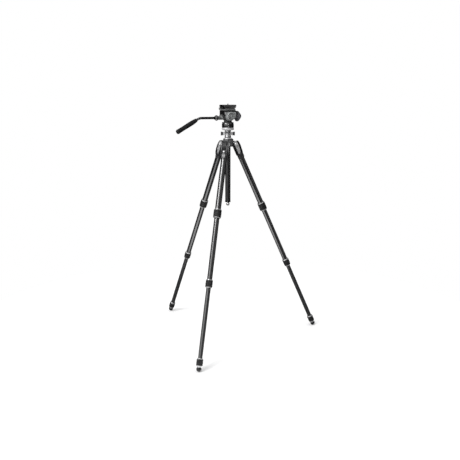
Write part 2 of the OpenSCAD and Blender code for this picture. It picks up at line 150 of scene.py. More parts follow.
class Shader:
    """A material and a few short ways to wire its nodes."""

    def __init__(self, name):
        self.material = bpy.data.materials.new(name)
        self.material.use_nodes = True
        self.nodes = self.material.node_tree.nodes
        self.links = self.material.node_tree.links
        self.surface = self.nodes["Principled BSDF"]
        self.place = self.nodes.new("ShaderNodeTexCoord").outputs["Object"]

    def wire(self, value, socket):
        """Links an output to a socket, or sets the socket to a number or a colour."""
        if isinstance(value, (int, float)):
            socket.default_value = value
        elif isinstance(value, tuple):
            socket.default_value = value if len(value) == len(socket.default_value) else (*value, 1)
        else:
            self.links.new(value, socket)

    def math(self, operation, a, b=0.0):
        node = self.nodes.new("ShaderNodeMath")
        node.operation = operation
        self.wire(a, node.inputs[0])
        self.wire(b, node.inputs[1])
        return node.outputs[0]

    def add(self, a, b):
        return self.math("ADD", a, b)

    def times(self, a, b):
        return self.math("MULTIPLY", a, b)

    def distance(self, a, b):
        """How far a point with these two coordinates is from the origin."""
        return self.math("SQRT", self.add(self.times(a, a), self.times(b, b)))

    def near(self, value, middle, half_width):
        """One where the value is within half_width of the middle, none elsewhere."""
        offset = self.math("ABSOLUTE", self.math("SUBTRACT", value, middle))
        return self.math("LESS_THAN", offset, half_width)

    def ranged(self, value, low, high, to_low, to_high):
        """A value between low and high, spread over another range and held at its ends."""
        node = self.nodes.new("ShaderNodeMapRange")
        for socket, number in zip(node.inputs[1:5], (low, high, to_low, to_high)):
            socket.default_value = number
        self.wire(value, node.inputs[0])
        return node.outputs[0]

    def mix(self, share, a, b):
        """Colour a where the share is none, b where it's one."""
        node = self.nodes.new("ShaderNodeMix")
        node.data_type = "RGBA"
        self.wire(share, node.inputs[0])
        self.wire(a, node.inputs[6])
        self.wire(b, node.inputs[7])
        return node.outputs[2]

    def noise(self, scale, detail=2.0, place=None):
        node = self.nodes.new("ShaderNodeTexNoise")
        node.inputs["Scale"].default_value = scale
        node.inputs["Detail"].default_value = detail
        self.wire(place or self.place, node.inputs["Vector"])
        return node.outputs[0]

    def cells(self, scale):
        """How far the point is from the middle of its cell, in a pattern of small cells."""
        node = self.nodes.new("ShaderNodeTexVoronoi")
        node.inputs["Scale"].default_value = scale
        self.wire(self.place, node.inputs["Vector"])
        return node.outputs["Distance"]

    def own_axes(self, base):
        """The point in a part's own axes, as separate X, Y and Z outputs in millimetres."""
        inverse = base.inverted()
        node = self.nodes.new("ShaderNodeMapping")
        node.inputs["Location"].default_value = inverse.translation
        node.inputs["Rotation"].default_value = inverse.to_euler()
        node.inputs["Scale"].default_value = inverse.to_scale()
        self.wire(self.place, node.inputs["Vector"])
        split = self.nodes.new("ShaderNodeSeparateXYZ")
        self.wire(node.outputs[0], split.inputs[0])
        return split.outputs

    def point(self, x, y, z):
        node = self.nodes.new("ShaderNodeCombineXYZ")
        for value, socket in zip((x, y, z), node.inputs):
            self.wire(value, socket)
        return node.outputs[0]

    def bump(self, height, millimetres, strength=1.0):
        node = self.nodes.new("ShaderNodeBump")
        node.inputs["Distance"].default_value = millimetres * MM
        node.inputs["Strength"].default_value = strength
        self.wire(height, node.inputs["Height"])
        self.wire(node.outputs[0], self.surface.inputs["Normal"])

    def orange_peel(self, scale=1500, detail=2.0, share=0.4):
        """Roughens the surface like sprayed paint, and returns the flecks in the paint. The share is how
        much the flecks add to the roughness."""
        flecks = self.noise(scale, detail)
        self.bump(self.add(self.noise(900), self.times(flecks, share)), 0.05, 0.6)
        return flecks

    def speckled(self, flecks, dark, light):
        """Dark paint with light flecks."""
        return self.mix(self.ranged(flecks, 0.4, 0.62, 0, 1), dark, light)

    def tool_lines(self, radius, z):
        """Fine grooves round a turned part's axis. Returns their height."""
        lines = self.noise(2.5, 2.0, self.point(radius, 0, z))
        self.bump(lines, 0.01, 0.4)
        return lines

    def finish(self, colour, roughness, metallic=0.0, coat=0.0, coat_roughness=0.1, ior=1.5):
        self.wire(colour, self.surface.inputs["Base Color"])
        self.wire(roughness, self.surface.inputs["Roughness"])
        self.wire(metallic, self.surface.inputs["Metallic"])
        self.wire(coat, self.surface.inputs["Coat Weight"])
        self.wire(coat_roughness, self.surface.inputs["Coat Roughness"])
        self.wire(ior, self.surface.inputs["IOR"])
        self.wire(ior, self.surface.inputs["Coat IOR"])
        return self.material


def shade(slot, factor=1.0):
    """The record's colour of a material slot, made lighter or darker."""
    return tuple(min(1.0, channel * factor) for channel in COLOURS[slot])


def carbon(name, base, radius):
    """A twill weave of fibre bundles wound round a tube's axis, under clear coat, with painted sheen on the
    bundles.
    """
    bundle = 2.2
    s = Shader(name)
    x, y, z = s.own_axes(base)
    count = 4 * round(2 * math.pi * radius / bundle / 4)
    around = s.times(s.math("ARCTAN2", y, x), count / (2 * math.pi))
    along = s.math("DIVIDE", z, bundle)
    step = s.add(s.math("FLOOR", around), s.math("FLOOR", along))
    over = s.math("LESS_THAN", s.math("FLOORED_MODULO", step, 4), 2)
    under = s.math("SUBTRACT", 1.0, over)
    hump_around = s.math("PINGPONG", around, 0.5)
    hump_along = s.math("PINGPONG", along, 0.5)
    height = s.add(s.times(over, hump_around), s.times(under, hump_along))
    fibres = s.noise(1.0, 2.0, s.point(s.times(around, 14), s.times(along, 0.6), 0))
    s.bump(s.add(height, s.times(fibres, 0.3)), 0.12)
    # painted sheen: the bundles lying one way are lighter than the others, and each bundle's crown is
    # lighter still
    weave = s.mix(over, shade("carbon_tube", 0.05), shade("carbon_tube", 0.24))
    colour = s.mix(s.times(height, 0.7), weave, shade("carbon_tube", 0.4))
    return s.finish(colour, s.ranged(fibres, 0.3, 0.7, 0.24, 0.36), 0.0, 0.7, 0.16, 1.95)


def powder_coat(name, slot, light=1.0):
    """Paint over a casting: fine orange peel with light and dark flecks."""
    s = Shader(name)
    flecks = s.orange_peel()
    speckle = s.speckled(flecks, shade(slot, 0.78 * light), shade(slot, 1.12 * light))
    patches = s.ranged(s.noise(90, 3.0), 0.35, 0.75, 0, 0.3)
    colour = s.mix(patches, speckle, shade(slot, 0.85 * light))
    return s.finish(colour, s.ranged(flecks, 0.3, 0.7, 0.5, 0.32), 0.35, 0.15, 0.3)


def turned_metal(name, slot, light=1.0, roughness=0.3, metallic=0.75):
    """Fine tool lines that run round the column's axis, with faint stains."""
    s = Shader(name)
    x, y, z = s.own_axes(WORLD)
    lines = s.tool_lines(s.distance(x, y), z)
    stains = s.ranged(s.noise(45, 3.0), 0.5, 0.8, 0, 0.25)
    clean = s.mix(s.ranged(lines, 0.3, 0.7, 0, 1), shade(slot, 0.9 * light), shade(slot, 1.05 * light))
    colour = s.mix(stains, clean, shade(slot, 0.75 * light))
    return s.finish(colour, s.ranged(lines, 0.3, 0.7, roughness + 0.05, roughness - 0.03), metallic)


def anodised():
    """Gloss black metal with a little dust and fine rubbed spots."""
    slot = "black_alloy"
    s = Shader(slot)
    rubbed = s.noise(140, 4.0)
    s.bump(s.noise(1500), 0.04, 0.5)
    colour = s.mix(s.ranged(rubbed, 0.45, 0.8, 0, 0.6), shade(slot, 0.3), shade(slot, 1.0))
    return s.finish(colour, s.ranged(rubbed, 0.3, 0.7, 0.18, 0.3), 0.2, 0.8, 0.08, 2.0)


def rubber(name, light=1.0):
    """Matt rubber: fine pores, and worn lighter patches."""
    slot = "grip_rubber"
    s = Shader(name)
    worn = s.noise(70, 4.0)
    s.bump(s.add(s.cells(1900), s.noise(700)), 0.06, 0.5)
    colour = s.mix(s.ranged(worn, 0.4, 0.75, 0, 0.6), shade(slot, 0.4 * light), shade(slot, 0.9 * light))
    return s.finish(colour, s.ranged(worn, 0.3, 0.7, 0.4, 0.52))


def plastic():
    """Moulded plastic with a spark-eroded texture."""
    slot = "black_plastic"
    s = Shader(slot)
    texture = s.noise(2100)
    handled = s.ranged(s.noise(110, 3.0), 0.4, 0.75, 0, 0.5)
    s.bump(texture, 0.05, 0.6)
    colour = s.mix(handled, shade(slot, 0.45), shade(slot, 1.0))
    return s.finish(colour, s.ranged(texture, 0.3, 0.7, 0.36, 0.48))


def cheek_paint(side):
    """Silver flecked paint on the outer faces of a leg casting, dark paint between its ears, and dark edges
    that are partly dark paint and partly painted shade of the rounded cheek.
    """
    taper_from, taper = -30, 0.35
    s = Shader(f"cheeks_{side}")
    x, y, z = s.own_axes(LEG[side])
    flecks = s.orange_peel()
    silver = s.speckled(flecks, shade("cast_alloy", 1.3), shade("cast_alloy", 2.8))
    dark = s.mix(flecks, shade("black_alloy", 0.3), shade("black_alloy", 1.2))
    on_face = s.ranged(s.math("ABSOLUTE", y), 14.8, 16.0, 0, 1)
    # the dark at the inner and outer edges is partly the casting's paint and partly painted shade, where
    # the rounded cheek turns from the light
    clear_of_inner_edge_shade = s.ranged(x, -9.5, -6.5, 0, 1)
    below_ear = s.math("MAXIMUM", s.math("SUBTRACT", taper_from, z), 0)
    clear_of_outer_edge_shade = s.ranged(s.add(x, s.times(below_ear, taper)), 7.6, 8.8, 1, 0)
    share = s.times(on_face, s.times(clear_of_inner_edge_shade, clear_of_outer_edge_shade))
    colour = s.mix(share, dark, silver)
    return s.finish(colour, s.ranged(flecks, 0.3, 0.7, 0.42, 0.28), 0.5, 0.3, 0.2)


def casting_end_paint(side):
    """Black lower end of a leg casting, with a light frame round the grip slots on its outer side."""
    frame_z, half_height, half_width, face_from = -63.5, 8.4, 8.2, 14.6
    s = Shader(f"collar_{side}")
    x, y, z = s.own_axes(LEG[side])
    texture = s.noise(1500)
    in_frame = s.times(s.near(y, 0, half_width), s.near(z, frame_z, half_height))
    frame_share = s.times(in_frame, s.math("GREATER_THAN", x, face_from))
    black = s.mix(texture, shade("black_plastic", 0.8), shade("black_plastic", 1.5))
    colour = s.mix(s.times(frame_share, 0.5), black, shade("light_alloy", 0.55))
    s.bump(texture, 0.05, 0.6)
    return s.finish(colour, s.ranged(texture, 0.3, 0.7, 0.3, 0.42), 0.1, 0.2)


def collar_and_wings():
    """Satin silver on the column's collar and the wings' arms, dark plastic on the wings' pads."""
    arm_from, pad_from = 16.6, 24.0
    s = Shader("column_collar")
    x, y, z = s.own_axes(WORLD)
    radius = s.distance(x, y)
    pad = s.ranged(radius, pad_from, pad_from + 0.6, 0, 1)
    silver = s.mix(s.tool_lines(radius, z), shade("light_alloy", 0.75), shade("light_alloy", 0.95))
    dark = s.mix(s.noise(1500), shade("black_plastic", 0.8), shade("black_plastic", 2.4))
    metallic = s.ranged(radius, arm_from, arm_from + 0.4, 0.8, 0)
    return s.finish(s.mix(pad, silver, dark), s.ranged(pad, 0, 1, 0.24, 0.36), metallic)


def spider_paint():
    """Casting paint darkened to a dark grey as painted shade between the legs, with a bright machined ring
    on top.
    """
    ring_height = 2.8
    s = Shader("spider")
    _, _, z = s.own_axes(WORLD)
    ring_from = extent("spider", WORLD)[1].z - ring_height
    ring = s.ranged(z, ring_from - 0.6, ring_from, 0, 1)
    flecks = s.orange_peel()
    # painted shade: the casting paint at a quarter to half its lightness, where the spider sits between the
    # legs
    dark = s.speckled(flecks, shade("cast_alloy", 0.22), shade("cast_alloy", 0.5))
    colour = s.mix(ring, dark, shade("light_alloy", 0.9))
    return s.finish(colour, s.ranged(flecks, 0.3, 0.7, 0.42, 0.3), 0.4, 0.3, 0.2)


def cradle_paint():
    """Hammered grey on the cradle with a painted highlight along its rear edge, black behind it, a black
    band under its ledge that is partly an inset plate and partly painted shadow, and the ledge painted
    darker as shade.
    """
    rear_face, rear_edge_highlight_end, rear_edge_highlight_top = -31.6, -26.5, 20.5
    inset_and_shadow_z, inset_and_shadow_half, ledge_from = 24.5, 3.6, 28.1
    s = Shader("cradle")
    x, _, z = s.own_axes(TILT)
    flecks = s.orange_peel(2200, 1.5, 0.5)
    grey = s.speckled(flecks, shade("head_alloy", 1.1), shade("head_alloy", 2.1))
    # painted highlight along the cradle's rear edge
    rear_edge_highlight = s.times(s.math("LESS_THAN", x, rear_edge_highlight_end), s.math("LESS_THAN", z, rear_edge_highlight_top))
    # the rear face, and a band under the ledge that is partly an inset black plate and partly painted
    # shadow
    black = s.math("MAXIMUM", s.near(z, inset_and_shadow_z, inset_and_shadow_half), s.math("LESS_THAN", x, rear_face))
    colour = s.mix(rear_edge_highlight, grey, shade("light_alloy", 0.9))
    # painted shade: the ledge is darker than the rest of the cradle
    colour = s.mix(s.math("GREATER_THAN", z, ledge_from), colour, shade("head_alloy", 0.8))
    colour = s.mix(black, colour, shade("black_alloy", 0.4))
    return s.finish(colour, s.ranged(flecks, 0.3, 0.7, 0.46, 0.34), 0.35, 0.25, 0.25)


def cap_paint():
    """Light grey lands and grooves painted dark as shade, round the end of the tilt axis."""
    s = Shader("cap")
    x, _, z = s.own_axes(TILT)
    radius = s.distance(x, z)
    rim = extent("tilt_axis_cap", TILT)[1].x
    groove = s.math("MAXIMUM", s.near(radius, rim - 6.8, 1.7), s.near(radius, rim - 12.7, 1.3))
    flecks = s.orange_peel()
    grey = s.speckled(flecks, shade("head_alloy", 1.5), shade("head_alloy", 2.5))
    # painted shade: the grooves are darker than the lands
    colour = s.mix(groove, grey, shade("head_alloy", 0.4))
    return s.finish(colour, s.ranged(flecks, 0.3, 0.7, 0.46, 0.3), 0.5, 0.2, 0.25)


def pad_paint():
    """Black rubber cut into small blocks by crossed grooves, with painted shade darkening the grooves."""
    pitch, groove = 3.0, 0.7
    s = Shader("pad")
    x, y, _ = s.own_axes(HEAD)
    across = s.ranged(s.math("PINGPONG", s.add(x, y), pitch), 0, groove, 0, 1)
    along = s.ranged(s.math("PINGPONG", s.math("SUBTRACT", x, y), pitch), 0, groove, 0, 1)
    blocks = s.times(across, along)
    s.bump(s.add(blocks, s.times(s.cells(1900), 0.1)), 0.5)
    # painted shade: the grooves are darker than the block tops
    colour = s.mix(blocks, shade("grip_rubber", 0.5), shade("grip_rubber", 1.6))
    return s.finish(colour, s.ranged(blocks, 0, 1, 0.8, 0.55))


# what each material slot looks like
SLOT_PAINT = {
    "cast_alloy": powder_coat("cast_alloy", "cast_alloy"),
    "head_alloy": powder_coat("head_alloy", "head_alloy"),
    "light_alloy": turned_metal("light_alloy", "light_alloy", 0.85, 0.26, 0.6),
    "black_alloy": anodised(),
    "steel": turned_metal("steel", "steel"),
    "grip_rubber": rubber("grip_rubber"),
    "black_plastic": plastic(),
    "carbon_tube": carbon("carbon_column", WORLD, extent("column_tube", WORLD)[1].x),
}
# parts that look different from the rest of their slot
NODE_PAINT = {
    "top_disc": turned_metal("disc", "light_alloy", 1.05, 0.4, 0.3),
    "spider": spider_paint(),
    # the turret at a third of the head's lightness: painted shade under the head's body
    "turret": powder_coat("turret", "head_alloy", 0.3),
    "column_collar": collar_and_wings(),
    "hinge_bolts": turned_metal("bolts", "steel", 1.6, 0.3, 0.4),
    "weight_hook": rubber("hook_coat", 0.8),
    "tilt_lock_cone": rubber("cone_rubber", 11.0),
    "tilt_cradle": cradle_paint(),
    "tilt_axis_cap": cap_paint(),
    "plate_pad": pad_paint(),
}


# ---- Meshes ----


def finished(bm, sharp=32):
    """A mesh from a bmesh: normals outward, smooth but for edges sharper than the given angle."""
    bmesh.ops.recalc_face_normals(bm, faces=bm.faces)
    mesh = bpy.data.meshes.new("piece")
    bm.to_mesh(mesh)
    bm.free()
    mesh.shade_smooth()
    mesh.set_sharp_from_angle(angle=math.radians(sharp))
    return mesh


# CAD nodes that already have their looks
REPLACED = set()


def piece(node, kind, mesh, slot=None, paint=None, extra=False):
    """Puts a mesh into the scene. It rides with a CAD node, and hides the node unless it's an extra."""
    obj = bpy.data.objects.new(f"{node}_{kind}", mesh)
    bpy.context.scene.collection.objects.link(obj)
    slot = slot or SLOT_OF[node]
    mesh.materials.clear()
    mesh.materials.append(paint or SLOT_PAINT[slot])
    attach(obj, BODY_OF[node])
    if not extra:
        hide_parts(node)
        REPLACED.add(node)
    return obj


def lathe(profile, base, ribs=0, pattern=(0, 0, 1, 1), segments=96):
    """A turned mesh. Profile points are (radius, height) or (radius, height, rib depth). The pattern is
    repeated for each rib round the part, and 1 in it is the full depth."""
    if ribs:
        segments = ribs * len(pattern)
    bm = bmesh.new()
    rings = []
    for point in profile:
        radius, height, depth = point if len(point) == 3 else (*point, 0)
        if radius == 0:
            rings.append([bm.verts.new(base @ Vector((0, 0, height)))])
            continue
        ring = []
        for k in range(segments):
            r = radius - depth * pattern[k % len(pattern)]
            a = 2 * math.pi * k / segments
            ring.append(bm.verts.new(base @ Vector((r * math.cos(a), r * math.sin(a), height))))
        rings.append(ring)
    closed = profile[0][0] > 0 and profile[-1][0] > 0
    pairs = list(zip(rings, rings[1:])) + ([(rings[-1], rings[0])] if closed else [])
    for low, high in pairs:
        for k in range(segments):
            after = k + 1
            ends = [low[k % len(low)], low[after % len(low)], high[after % len(high)], high[k % len(high)]]
            corners = list(dict.fromkeys(ends))
            if len(corners) > 2:
                bm.faces.new(corners)
    return finished(bm)


def joined(bm, rings, closed=False):
    """Faces between rings that have equally many points. Closed joins the last ring to the first."""
    pairs = list(zip(rings, rings[1:])) + ([(rings[-1], rings[0])] if closed else [])
    for low, high in pairs:
        for k in range(len(low)):
            after = (k + 1) % len(low)
            bm.faces.new((low[k], low[after], high[after], high[k]))
    if not closed:
        bm.faces.new(rings[0])
        bm.faces.new(rings[-1])


def sweep(path, radius, base, sides=14):
    """A round rod along a path of points, with capped ends."""
    bm = bmesh.new()
    points = [Vector(p) for p in path]
    tangents = [(b - a).normalized() for a, b in zip(points, points[1:])]
    tangents.append(tangents[-1])
    normal = tangents[0].orthogonal().normalized()
    rings = []
    for point, tangent in zip(points, tangents):
        normal = (normal - tangent * normal.dot(tangent)).normalized()
        across = tangent.cross(normal)
        ring = []
        for a in np.linspace(0, 2 * math.pi, sides, endpoint=False):
            outward = math.cos(a) * normal + math.sin(a) * across
            ring.append(bm.verts.new(base @ (point + radius * outward)))
        rings.append(ring)
    joined(bm, rings)
    return finished(bm, 60)


def rounded_outline(width, height, radius, steps=6):
    """A rectangle with round corners."""
    points = []
    for k in range(4):
        x = (width / 2 - radius) * (1 if k in (0, 3) else -1)
        y = (height / 2 - radius) * (1 if k in (0, 1) else -1)
        for a in np.linspace(k * math.pi / 2, (k + 1) * math.pi / 2, steps):
            points.append((x + radius * math.cos(a), y + radius * math.sin(a)))
    return points


def from_cad(node):
    """A bmesh of a CAD node with its split vertices joined and its flat faces made whole."""
    bm = bmesh.new()
    bm.from_mesh(NODES[node].data)
    bmesh.ops.remove_doubles(bm, verts=bm.verts, dist=0.004 * MM)
    bmesh.ops.dissolve_limit(bm, angle_limit=math.radians(0.6), verts=bm.verts, edges=bm.edges)
    return bm


def refined(node, edge=0.5):
    """A machined part: the CAD surface with its sharp edges rounded."""
    bm = from_cad(node)
    sharp = [e for e in bm.edges if len(e.link_faces) == 2 and e.calc_face_angle(0) > math.radians(30)]
    bmesh.ops.bevel(bm, geom=sharp, offset=edge * MM, segments=2, affect="EDGES", clamp_overlap=True)
    return finished(bm)


def temporary(mesh):
    """An object that only lives until its modifiers are applied."""
    obj = bpy.data.objects.new("temporary", mesh)
    bpy.context.scene.collection.objects.link(obj)
    return obj


def evaluated(obj):
    """The mesh of a temporary object with its modifiers applied. The object is removed."""
    bpy.context.view_layer.update()
    mesh = bpy.data.meshes.new_from_object(obj.evaluated_get(bpy.context.evaluated_depsgraph_get()))
    bpy.data.objects.remove(obj)
    return mesh


def slab(base, low, high, reach=80):
    """A wide block between two heights, used to keep only that part of a mesh."""
    bm = bmesh.new()
    bmesh.ops.create_cube(bm, size=1)
    bm.transform(raised(base, (low + high) / 2) @ Matrix.Diagonal((reach, reach, high - low, 1)))
    bmesh.ops.recalc_face_normals(bm, faces=bm.faces)
    mesh = bpy.data.meshes.new("slab")
    bm.to_mesh(mesh)
    bm.free()
    return mesh


def softened(node, voxel=0.7, smoothing=5, within=None):
    """A cast part: the CAD surface remeshed evenly and smoothed, which rounds its edges and corners.
    Within is the (axes, low, high) of the slab that is kept."""
    bm = from_cad(node)
    bmesh.ops.triangulate(bm, faces=bm.faces)
    obj = temporary(finished(bm))
    if within:
        cutter = temporary(slab(*within))
        keep = obj.modifiers.new("keep", "BOOLEAN")
        keep.operation = "INTERSECT"
        keep.solver = "EXACT"
        keep.object = cutter
    remesh = obj.modifiers.new("even", "REMESH")
    remesh.mode = "VOXEL"
    remesh.voxel_size = voxel * MM
    smooth = obj.modifiers.new("round", "SMOOTH")
    smooth.factor = 0.5
    smooth.iterations = smoothing
    soft = evaluated(obj)
    if within:
        bpy.data.objects.remove(cutter)
    soft.shade_smooth()
    return soft


# ---- Legs ----


def painted(node, paint):
    """Keeps a node's CAD mesh as it is and gives it a material."""
    NODES[node].data.materials.clear()
    NODES[node].data.materials.append(paint)
    REPLACED.add(node)


def tubes(side):
    """Carbon weave wound round the axis of the leg."""
    for i in range(1, 5):
        node = f"{side}_tube_{i}"
        painted(node, carbon(f"carbon_{node}", LEG[side], extent(node, LEG[side])[1].x))


def twist_locks(side):
    """Each lock is a rubber sleeve, ribbed in three fields, between two thin metal bands."""
    rib, groove, play, band = 0.9, 0.9, 0.15, 4
    for i in range(1, 4):
        node = f"{side}_lock_{i}"
        low, high = extent(node, LEG[side])
        r = high.x
        half = (high.z - low.z) / 2
        base = raised(LEG[side], (low.z + high.z) / 2)
        bore_up = extent(f"{side}_tube_{i}", LEG[side])[1].x + play
        bore_low = extent(f"{side}_tube_{i + 1}", LEG[side])[1].x + play
        split = 0.34 * half
        sleeve = [(bore_up, half - band), (r - 1.6, half - band), (r - 0.6, half - 4.3),
                  (r - 0.3, half - 5, rib)]
        for z in (split, -split):
            sleeve += [(r, z + 1, rib), (r - groove, z), (r - groove, z - 1), (r, z - 2, rib)]
        sleeve += [(r - 0.3, 5 - half, rib), (r - 0.8, 4.2 - half), (r - 1.8, 3.8 - half),
                   (bore_low, 3.8 - half)]
        band_top = [(bore_up, half), (r - 2.4, half), (r - 1.5, half - 0.8), (r - 1, half - 3),
                    (r - 1.3, half - 3.9), (bore_up, half - 3.9)]
        band_low = [(bore_low, 3.7 - half), (r - 1.7, 3.7 - half), (r - 1.3, 3 - half),
                    (r - 1.7, 0.9 - half), (r - 2.5, -half), (bore_low, -half)]
        piece(node, "sleeve", lathe(sleeve, base, 30), "grip_rubber")
        piece(node, "band_top", lathe(band_top, base), "light_alloy", extra=True)
        piece(node, "band_low", lathe(band_low, base), "light_alloy", extra=True)


def casting(side):
    """The casting's silver cheeks, its black lower end and the light button under the latch."""
    node = f"{side}_casting"
    base = LEG[side]
    low, high = extent(node, base)
    joint_line, button_z = -50, -42.5
    cheeks = softened(node, 0.6, 5, (base, joint_line, high.z + 1))
    end = softened(node, 0.5, 3, (base, low.z - 1, joint_line - 0.4))
    piece(node, "cheeks", cheeks, "cast_alloy", cheek_paint(side))
    piece(node, "collar", end, "black_plastic", casting_end_paint(side), extra=True)
    top = extent(f"{side}_angle_latch", base)[1].x - 2.6
    dome = [(0, top - 4), (5.2, top - 4), (5.2, top - 0.9), (4.9, top - 0.4), (4.3, top - 0.2),
            (4.0, top - 0.7), (3.5, top - 0.6), (2.4, top - 0.15), (1.2, top), (0, top)]
    seat = turned(raised(base, button_z), 90, "Y")
    piece(node, "button", lathe(dome, seat, segments=48), "light_alloy", extra=True)


def latch(side):
    """The angle latch: a thumb piece with ribs across its outer face, which run along the leg."""
    node = f"{side}_angle_latch"
    base = LEG[side]
    ribs, rise, edge, face_x = 7, 0.55, 0.8, 17
    outline = [(13.6, 3), (11.8, 8.2), (12.6, 9.8), (15.2, 11.6), (16.6, 11.2), (18.6, 6.6), (20, -4),
               (20.4, -14), (19.9, -23.5), (18.2, -29.2), (16.8, -32.2), (15.8, -33.2), (14.3, -32),
               (13.5, -26), (14.4, -20), (14.6, -12)]
    half_width = extent(node, base)[1].y - 4.1
    first = 2 * edge - half_width
    pitch = -2 * first / ribs
    stations = [(-half_width, -edge), (edge - half_width, 0)]
    for k in range(ribs):
        for share, proud in ((0.15, 0), (0.35, rise), (0.65, rise), (0.85, 0)):
            stations.append((first + (k + share) * pitch, proud))
    stations += [(half_width - edge, 0), (half_width, -edge)]
    bm = bmesh.new()
    rings = []
    for y, proud in stations:
        places = [Vector((x + (proud if x > face_x else 0), y, z)) for x, z in outline]
        rings.append([bm.verts.new(base @ place) for place in places])
    joined(bm, rings)
    piece(node, "grip", finished(bm, 40), "black_plastic")


def foot(side):
    """A grooved rubber ball under a neck, with a metal ring where it joins the lowest section."""
    node = f"{side}_foot"
    base = LEG[side]
    low, high = extent(node, base)
    r = high.x
    centre = low.z + r
    groove, neck = 0.6, r - 1.3
    smooth, grooved = (20, 36, 44, 56, 68, 80, 90), (46, 54, 70, 78)
    profile = [(0, -r)]
    for degrees in sorted(smooth + grooved):
        a = math.radians(degrees)
        depth = groove if degrees in grooved else 0
        profile.append(((r - depth) * math.sin(a), -(r - depth) * math.cos(a)))
    profile += [(r, 1.5), (neck + 0.5, 3), (neck, 4.2), (neck, 5.6), (neck - 0.7, 6.2), (0, 6.2)]
    ball = lathe(profile, raised(base, centre))
    for vertex in ball.vertices:
        # worn flat where it stands on the floor
        vertex.co.z = max(vertex.co.z, 0.0)
    piece(node, "ball", ball, "grip_rubber")
    top = extent(f"{side}_lock_3", base)[0].z - centre - 0.2
    ring = [(0, 6.3), (neck - 0.9, 6.3), (neck - 0.2, 6.8), (neck - 0.2, top - 1), (neck - 0.9, top),
            (0, top)]
    piece(node, "ring", lathe(ring, raised(base, centre)), "light_alloy", extra=True)


# ---- Knobs and other turned parts ----


def knurled(node, joint, shoulder, ribs, slot, pin=3.0, depth=0.5):
    """A knob on a joint's axis: a pin, then from the shoulder on a head with ribs and a dished face."""
    base = joint_axes(joint)
    low, high = extent(node, base)
    r, top = high.x, high.z
    profile = [(0, low.z), (pin, low.z), (pin, shoulder), (r - 1.6, shoulder), (r - 0.6, shoulder + 0.5),
               (r, shoulder + 1.4, depth), (r, top - 1.8, depth), (r - 0.7, top - 0.6, depth / 2),
               (r - 1.8, top), (r - 2.8, top), (r - 3.2, top - 0.7), (0.9, top - 0.7), (0, top - 0.7)]
    piece(node, "knob", lathe(profile, base, ribs), slot)


def lock_cone():
    """The tilt lock: a ribbed cone with a smooth rim and a stepped tip."""
    node = "tilt_lock_cone"
    base = joint_axes("tilt_lock_turn")
    low, high = extent(node, base)
    r, top = high.x, high.z
    rib = 1.3
    profile = [(0, low.z), (4, low.z), (4, -6), (10, -6), (10, -1), (r - 3, 0), (r - 0.6, 0.6), (r, 1.8),
               (r, 4.6), (r - 0.5, 5.6), (r - 1.6, 7), (r - 2.1, 7.4, rib)]
    rim, tip = Vector((r - 2.1, 7.4)), Vector((10.5, top - 3.6))
    for share in (0.25, 0.5, 0.75, 1.0):
        radius, height = rim.lerp(tip, share)
        profile.append((radius + 0.7 * math.sin(math.pi * share), height, rib))
    profile += [(9.6, top - 2.9), (9.0, top - 2.9), (8.6, top - 2.3), (6.2, top - 0.9), (3.4, top - 0.2),
                (0, top)]
    piece(node, "knob", lathe(profile, base, 28, (0, 0, 0.8, 1, 0.8)), "grip_rubber", NODE_PAINT[node])


def axis_cap():
    """The round cover with concentric rings on the end of the tilt axis."""
    node = "tilt_axis_cap"
    base = turned(TILT, 90, "X")
    low, high = extent(node, base)
    r, foot_z, top = high.x, low.z, high.z
    profile = [(0, foot_z), (r, foot_z), (r, foot_z + 1.4), (r - 0.7, foot_z + 1.8), (r - 0.7, foot_z + 3),
               (r, foot_z + 3.4), (r, top - 2), (r - 0.6, top - 0.7), (r - 2, top), (r - 4.6, top),
               (r - 5.1, top - 1), (r - 8.4, top - 1), (r - 8.9, top), (r - 11, top), (r - 11.5, top - 0.8),
               (r - 14, top - 0.8), (r - 14.4, top - 0.1), (3.6, top - 0.1), (3.2, top - 1.4),
               (0, top - 1.4)]
    piece(node, "rings", lathe(profile, base), "head_alloy", NODE_PAINT[node])


def bar_collar():
    """The knurled collar that holds the pan bar, with a cone towards the head."""
    node = "bar_collar"
    base = joint_axes("bar_lock_turn")
    low, high = extent(node, base)
    bore, r, knurl = BAR_RADIUS + 0.1, high.x, 0.7
    profile = [(bore, low.z), (8.4, low.z), (11.6, low.z + 5.2), (r - 0.8, low.z + 6.4),
               (r, low.z + 7.4, knurl), (r, high.z - 2, knurl), (r - 0.9, high.z - 0.8), (r - 1.4, high.z),
               (bore, high.z)]
    piece(node, "knurled", lathe(profile, base, 20), "black_alloy")


def grip():
    """The rubber grip: a collar, then ribs along a gentle swell, then a smooth round end."""
    node = "bar_grip"
    base = long_axes(node, -HEAD.col[0].xyz)
    low, high = extent(node, base)
    r, start, end, rib = high.x, low.z, high.z, 0.55
    profile = [(0, start + 0.01), (8.3, start), (9.3, start + 1), (9.3, start + 3), (8.7, start + 3.6),
               (8.7, start + 4.6), (9.5, start + 5.4)]
    ribs_from, ribs_to = start + 9, end - 10
    for share in np.linspace(0, 1, 15):
        taper = 1.2 * max(0, 1 - 5 * share)
        swell = 0.3 * math.sin(2 * math.pi * share)
        profile.append((r - 0.7 - taper + swell, ribs_from + (ribs_to - ribs_from) * share, rib))
    profile += [(r - 0.3, end - 8.6), (r - 0.3, end - 6), (r - 1.0, end - 5.4), (r - 1.4, end - 3.4),
                (r - 2.8, end - 1.3), (r - 5.5, end - 0.2), (0, end)]
    piece(node, "rubber", lathe(profile, base, 26), "grip_rubber")


